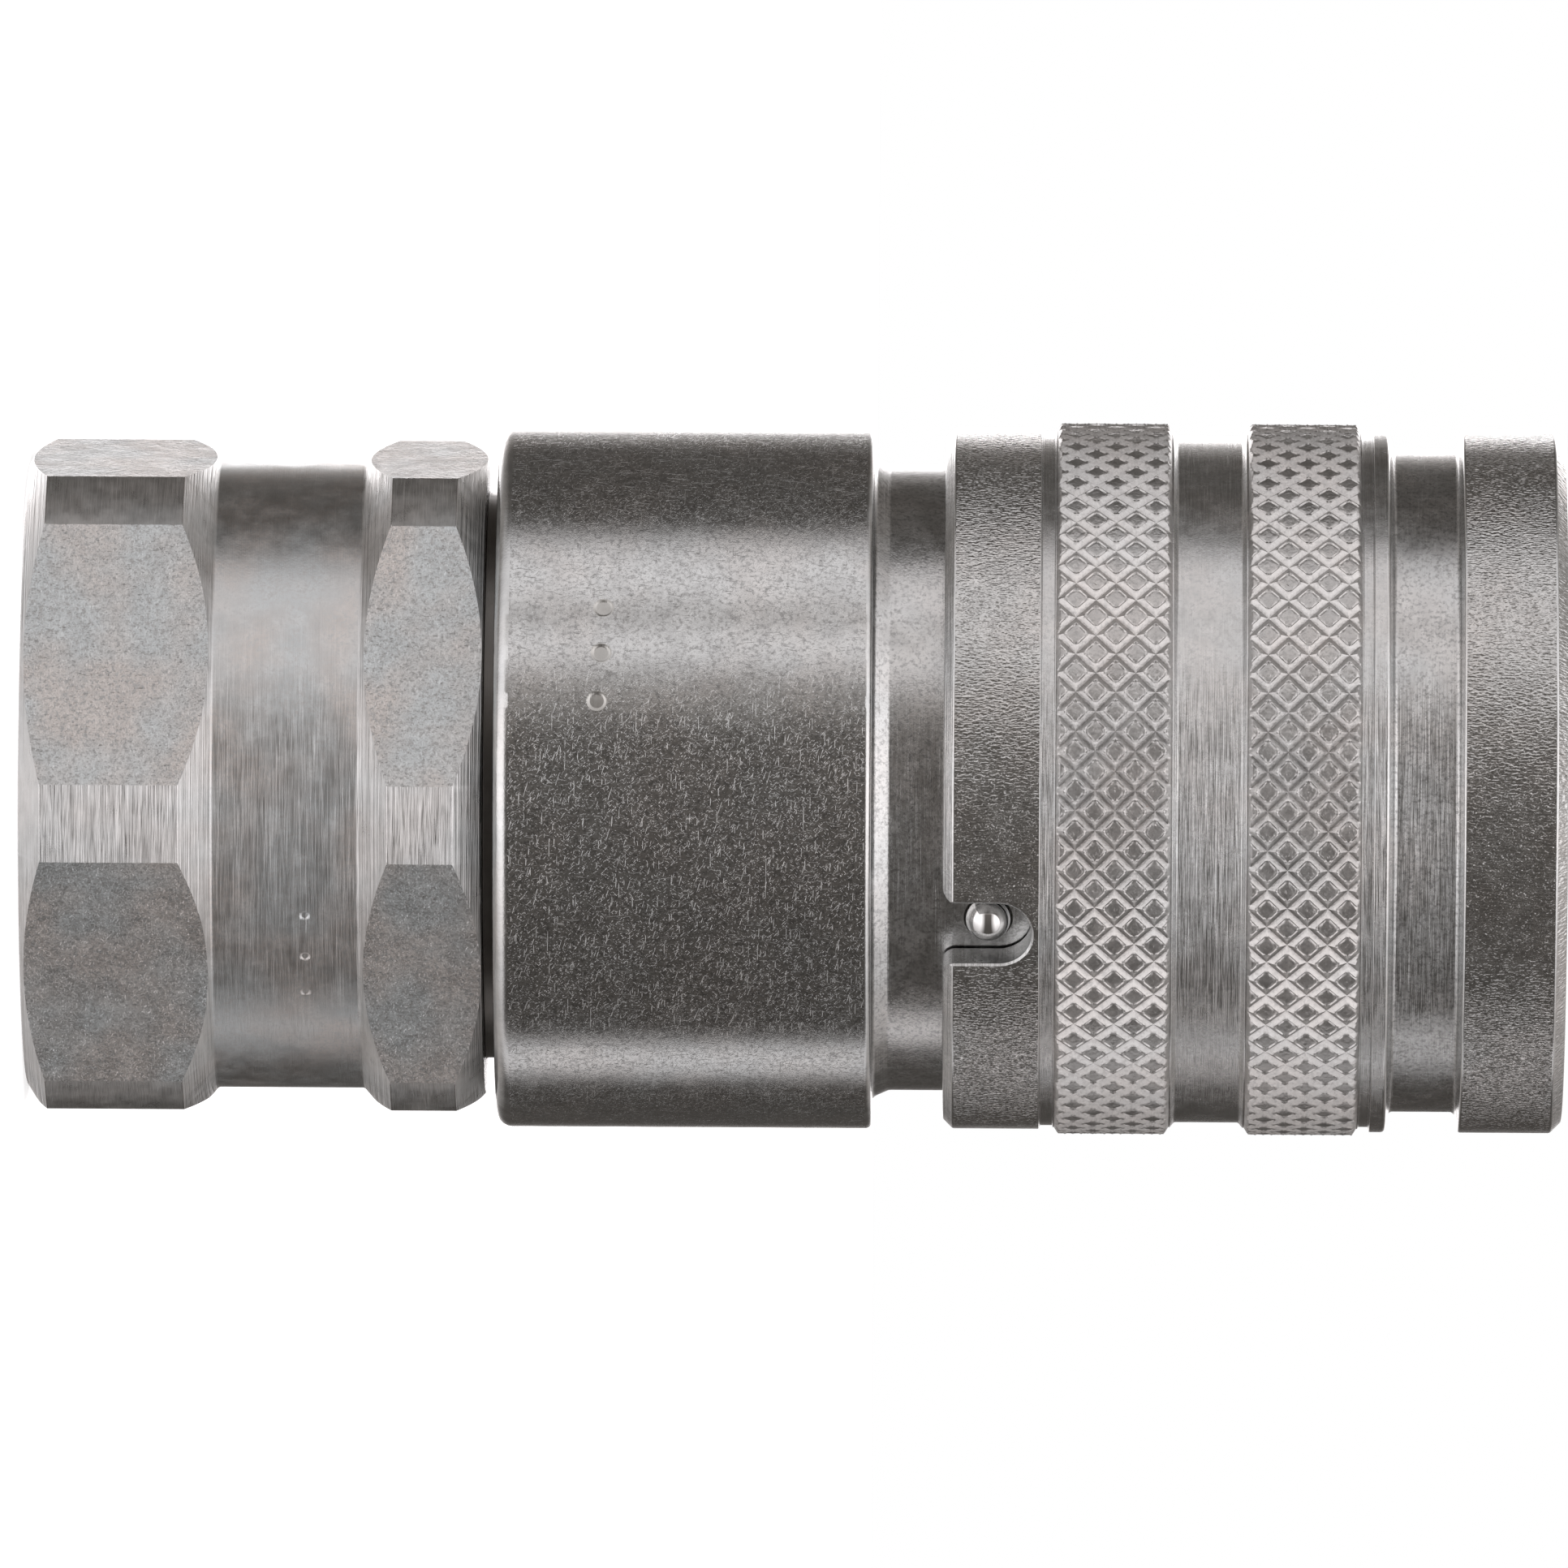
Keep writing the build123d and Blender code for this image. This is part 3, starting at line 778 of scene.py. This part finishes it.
def port_adapter():
    """The hexagon end: chamfered wrench flats, turned waist, bore for the port thread."""
    corners = [
        (14.60, 0.00, 0.12, "turned"),
        (16.64, 0.00, 0.12, "ruled"),
        (18.55, 1.20, 0.08, "ruled"),
        (18.55, 8.50, 0.08, "ruled"),
        (17.35, 9.70, 0.10, "ruled"),
        (16.75, 10.20, 0.25, "waist"),
        (16.75, 18.00, 0.25, "ruled"),
        (18.55, 19.55, 0.08, "ruled"),
        (18.55, 23.00, 0.08, "ruled"),
        (16.95, 24.50, 0.12, "turned"),
        # The bore wall from here to 34.50 takes the painted shade material, standing in for the shade in the
        # recess.
        (15.10, 24.50, 0.08, "shade"),
        (15.10, 34.50, 0.08, "inside"),
        (14.00, 34.50, 0.08, "inside"),
        (14.00, 35.60, 0.05, "inside"),
        (12.45, 35.60, 0.05, "inside"),
        (12.45, 37.60, 0.05, "inside"),
        (14.00, 37.60, 0.05, "inside"),
        (14.00, 38.50, 0.15, "inside"),
        (11.00, 38.50, 0.15, "inside"),
        (11.00, 23.30, 0.10, "inside"),
        (thread_major, 22.50, 0.10, "inside"),
        (thread_major, 3.60, 0.10, "turned"),
        (13.90, 3.30, 0.10, "turned"),
    ]
    piece = turned_piece(
        "port_adapter_shell", corners, body_segments, "coupler", ["port_adapter"]
    )
    corner_radius = across_flats / 2 / cos(radians(30))
    hexagon = []
    for z in (-2.0, 40.0):
        ring = []
        for k in range(6):
            angle = radians(90 + 60 * k)
            ring.append(np.array((corner_radius * cos(angle), corner_radius * sin(angle), z)))
        hexagon.append(ring)
    points, faces = stacked_prism(hexagon)
    cut(piece, tool("hexagon_cutter", points, faces, "flat"), "INTERSECT")
    dot = ((16.67, 0.16), (16.70, 0.22), (17.10, 0.82))
    dots = [radial_drill(polar_of_turn(turn), waist_dot_height, dot, 32) for turn in waist_turns]
    points, faces = merged(dots)
    cut(piece, tool("dot_cutter", points, faces, "waist"))
    weight_normals(piece)


def port_thread():
    """The thread's ridge, a helix standing in from the bore's wall."""
    low, high = 4.3, 22.3
    turns = (high - low) / thread_pitch
    frames = helix_frames(thread_major, lambda turn: low + turn * thread_pitch, turns, 120)
    inward = thread_minor - thread_major
    section = [(0.15, -0.95), (0.15, 0.95), (inward, 0.16), (inward, -0.16)]
    points, faces = ridge_along(frames, section)
    piece = finish_piece(
        "port_thread_ridge", points, faces, None, ["turned"], [0] * len(faces), "coupler", []
    )
    smooth_by_angle(piece.data, 30)


# ---------------------------------------------------------------------------
# Balls, springs, rings and the valve
# ---------------------------------------------------------------------------
valve_segments = 360


def steel_ball(name, node, body):
    """A polished ball in its CAD place, with its poles on the Z axis."""
    low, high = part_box(node)
    centre = (low + high) / 2 / MM
    radius = (high.z - low.z) / 2 / MM
    rows, sides = 48, 96
    points, faces, normals = [], [], []
    for j in range(rows + 1):
        tilt = pi * j / rows
        for k in range(sides):
            angle = 2 * pi * k / sides
            normal = np.array((sin(tilt) * cos(angle), sin(tilt) * sin(angle), -cos(tilt)))
            normals.append(normal)
            points.append(np.array(centre) + normal * radius)
    for j in range(rows):
        for k in range(sides):
            onward = (k + 1) % sides
            a, b = j * sides + k, j * sides + onward
            faces.append((a, b, b + sides, a + sides))
    finish_piece(
        name, points, faces, normals, ["ball"], [0] * len(faces), body, [node]
    )


def coil_spring(name, node, mean_radius, wire, turns, low, high):
    """A compression spring with closed ends, wound between two fixed heights."""
    sides, steps = 16, 72
    end_turn = 0.9
    closed_pitch = wire * 0.98
    total = turns + 1.0

    def height(turn):
        """Height of the wire's centre: close-wound for the first and last turn, open between."""
        if turn < end_turn:
            return low + wire / 2 + closed_pitch * turn
        if turn > total - end_turn:
            return high - wire / 2 - closed_pitch * (total - turn)
        open_rise = high - low - wire - 2 * closed_pitch * end_turn
        share = (turn - end_turn) / (total - 2 * end_turn)
        return low + wire / 2 + closed_pitch * end_turn + open_rise * share

    frames = helix_frames(mean_radius, height, total, steps)
    section = []
    for k in range(sides):
        angle = 2 * pi * k / sides
        section.append((wire / 2 * cos(angle), wire / 2 * sin(angle)))
    points, faces = ridge_along(frames, section)
    piece = finish_piece(
        name, points, faces, None, ["wire"], [0] * len(faces), None, [node]
    )
    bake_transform(piece)


def valve_sleeve():
    """The sliding flat-face sleeve that closes on the stem's head and holds the balls out at rest."""
    corners = [
        (9.80, 61.00, 0.15, "inside"),
        (13.00, 61.00, 0.20, "inside"),
        (13.00, 63.50, 0.20, "inside"),
        (12.20, 63.60, 0.10, "valve"),
        (12.20, 78.00, 0.35, "valve"),
        (8.70, 78.00, 0.20, "valve"),
        (8.05, 77.35, 0.15, "valve"),
        (8.05, 75.20, 0.20, "valve"),
        (9.80, 73.50, 0.20, "inside"),
    ]
    turned_piece(
        "valve_sleeve_shell", corners, valve_segments, "valve", ["valve_sleeve"], 12
    )


def valve_stem():
    """The fixed stem and its flat head, with a groove for the seal and a centre dimple."""
    low, high = heights("valve_stem")
    corners = [
        (0.0, low, 0.0, "inside"),
        (3.20, low, 0.30, "inside"),
        (3.50, low + 0.5, 0.20, "inside"),
        (3.50, 42.00, 0.10, "inside"),
        (4.50, 42.00, 0.20, "inside"),
        (4.50, 70.00, 1.50, "inside"),
        (8.00, 75.40, 0.40, "valve"),
        (8.00, 76.00, 0.05, "inside"),
        (6.90, 76.00, 0.05, "inside"),
        (6.90, 77.30, 0.05, "inside"),
        (8.00, 77.30, 0.05, "valve"),
        (8.00, high, 0.25, "valve"),
        (1.60, high, 0.10, "valve"),
        (0.0, high - 0.55, 0.0, "valve"),
    ]
    turned_piece(
        "valve_stem_poppet", corners, valve_segments, "coupler", ["valve_stem"], 12
    )


def seal_ring(name, node, body):
    """A round seal in its CAD place: an O-ring whose section is its CAD box's height."""
    low, high = heights(node)
    outer = outer_radius(node)
    thick = (high - low) / 2
    middle = (low + high) / 2
    sides = 24
    corners = []
    for k in range(sides):
        angle = 2 * pi * k / sides
        r, z = outer - thick + thick * cos(angle), middle + thick * sin(angle)
        corners.append((r, z, 0.05, "rubber"))
    turned_piece(name, corners, 240, body, [node], 30)


locking_sleeve()
knurl_ring("rear_knurl_band", *rear_knurl)
knurl_ring("front_knurl_band", *front_knurl)
coupler_body()
port_adapter()
port_thread()
steel_ball("safety_ball_bearing", "safety_ball", "coupler")
for number in range(1, ball_count + 1):
    steel_ball(f"locking_ball_{number}_bearing", f"locking_ball_{number}", f"ball_{number}")
coil_spring("sleeve_spring_coil", "sleeve_spring", 16.05, 1.20, 4.0, 57.50, 70.58)
coil_spring("valve_spring_coil", "valve_spring", 12.00, 1.50, 5.0, 42.00, 61.00)
valve_sleeve()
valve_stem()
for node in ("adapter_o_ring", "socket_o_ring", "stem_seal"):
    seal_ring(f"{node}_seal", node, "coupler")

kept_nodes = {
    "sleeve_stop_ring": "wire",
    "spring_washer": "inside",
    "stem_spider": "inside",
    "stem_nut": "inside",
    "socket_backup_ring": "plastic",
}
for node, zone in kept_nodes.items():
    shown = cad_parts[node]
    shown.data.materials.clear()
    shown.data.materials.append(materials[zone])

# ---------------------------------------------------------------------------
# Floor, studio light and camera
# ---------------------------------------------------------------------------


def floor():
    """A large round pale floor at height 0."""
    radius_m, sides = 6, 96
    rim = []
    for k in range(sides):
        angle = 2 * pi * k / sides
        rim.append((radius_m * cos(angle), radius_m * sin(angle), 0.0))
    mesh = bpy.data.meshes.new("floor")
    mesh.from_pydata(rim, [], [tuple(range(sides))])
    material = bpy.data.materials.new("floor_paint")
    material.use_nodes = True
    n = Nodes(material.node_tree)
    faint = n.colour(n.noise((0.01, 0.01, 0.01)), (0.80, 0.80, 0.80), (0.83, 0.83, 0.83))
    shader = n.add(
        "ShaderNodeBsdfPrincipled",
        {
            "Base Color": faint,
            "Roughness": 0.9,
            "Emission Color": (1, 1, 1, 1),
            "Emission Strength": 0.62,
        },
    )
    n.add("ShaderNodeOutputMaterial", {"Surface": shader.outputs[0]})
    mesh.materials.append(material)
    plane = bpy.data.objects.new("floor", mesh)
    plane.visible_glossy = False
    bpy.context.scene.collection.objects.link(plane)


def bands(n, turn, stops, warm, cool):
    """Strength against turn angle, warm where it is dark and cool where it is bright."""
    ramp = n.add("ShaderNodeValToRGB", {0: n.ramp(turn, -180, 180)})
    elements = ramp.color_ramp.elements
    while len(elements) < len(stops):
        elements.new(0.5)
    coolest_from = 0.8
    for element, (angle, strength) in zip(elements, stops):
        share = min(1.0, strength / coolest_from)
        tone = [w + (c - w) * share for w, c in zip(warm, cool)]
        element.position = (angle + 180) / 360
        element.color = (*(strength / full_strength * t for t in tone), 1)
    return ramp.outputs[0]


def studio():
    """A room of soft panels round the object, set by direction, behind a plain white backdrop."""
    world = bpy.data.worlds.new("studio")
    bpy.context.scene.world = world
    world.use_nodes = True
    n = Nodes(world.node_tree)
    direction = n.add("ShaderNodeTexCoord").outputs["Generated"]
    level = n.add("ShaderNodeMapping", {"Vector": direction, "Rotation": (0, 0, -camera_polar)}).outputs[0]
    parts = n.add("ShaderNodeSeparateXYZ", {0: level})
    turn = n.math("MULTIPLY", n.math("ARCTAN2", parts.outputs[1], parts.outputs[0]), 180 / pi)
    rise = n.math("MULTIPLY", n.math("ARCSINE", parts.outputs[2]), 180 / pi)
    # Strength against turn angle: one set for light from about the level, one for light from the sides.
    level_stops = [
        (-180, 3.20), (-170, 4.00), (-161, 4.00), (-156, 0.60), (-147, 0.34), (-138, 0.10),
        (-90, 0.10), (-80, 0.95), (-62, 1.06), (-54, 0.45), (-47, 1.08), (-38, 1.00), (-33, 0.46),
        (-24, 0.38), (-16, 0.15), (40, 0.10), (96, 0.08), (102, 1.00), (114, 0.80), (120, 0.08),
        (168, 0.08), (175, 0.60), (180, 3.20),
    ]
    side_stops = [
        (-180, 1.30), (-155, 0.70), (-135, 0.32), (-110, 0.28), (-85, 0.75), (-45, 1.30),
        (0, 1.70), (30, 1.60), (70, 1.00), (110, 0.55), (150, 0.45), (180, 1.30),
    ]
    warm, cool = (1.08, 0.985, 0.90), (1.0, 0.968, 0.975)
    at_level = bands(n, turn, level_stops, warm, cool)
    at_sides = bands(n, turn, side_stops, warm, cool)
    level_up_to, sides_from = 14, 34
    side = n.ramp(n.math("ABSOLUTE", rise), level_up_to, sides_from)
    around = n.colour(side, at_level, at_sides)
    backdrop = (1 / full_strength,) * 3
    seen = n.add("ShaderNodeLightPath").outputs["Is Camera Ray"]
    shown = n.colour(seen, around, backdrop)
    background = n.add("ShaderNodeBackground", {"Color": shown, "Strength": full_strength})
    n.add("ShaderNodeOutputWorld", {"Surface": background.outputs[0]})


def camera():
    """A long lens level with the object, rolled so that the object's axis runs across the picture."""
    # In metres: how far off, how high it stands, how high it looks, and how far below the axis.
    distance, seat, aim, drop = 1.374, 0.0555, 0.0403, 0.00039
    roll = radians(0.34)
    back = Vector((cos(camera_polar), sin(camera_polar), 0))
    axis = Vector((0, 0, 1))
    up = back.cross(axis)
    place = back * distance + axis * seat - up * drop
    target = axis * aim - up * drop
    backward = (place - target).normalized()
    right = (axis * cos(roll) + up * sin(roll)).normalized()
    upward = backward.cross(right).normalized()
    right = upward.cross(backward)
    data = bpy.data.cameras.new("camera")
    data.sensor_width = 36.0
    data.lens = 590.2
    data.clip_start, data.clip_end = 0.05, 50
    seer = bpy.data.objects.new("camera", data)
    turn = Matrix((right, upward, backward)).transposed().to_4x4()
    seer.matrix_world = Matrix.Translation(place) @ turn
    bpy.context.scene.collection.objects.link(seer)
    bpy.context.scene.camera = seer


floor()
studio()
camera()
bpy.context.scene.view_settings.view_transform = "Standard"
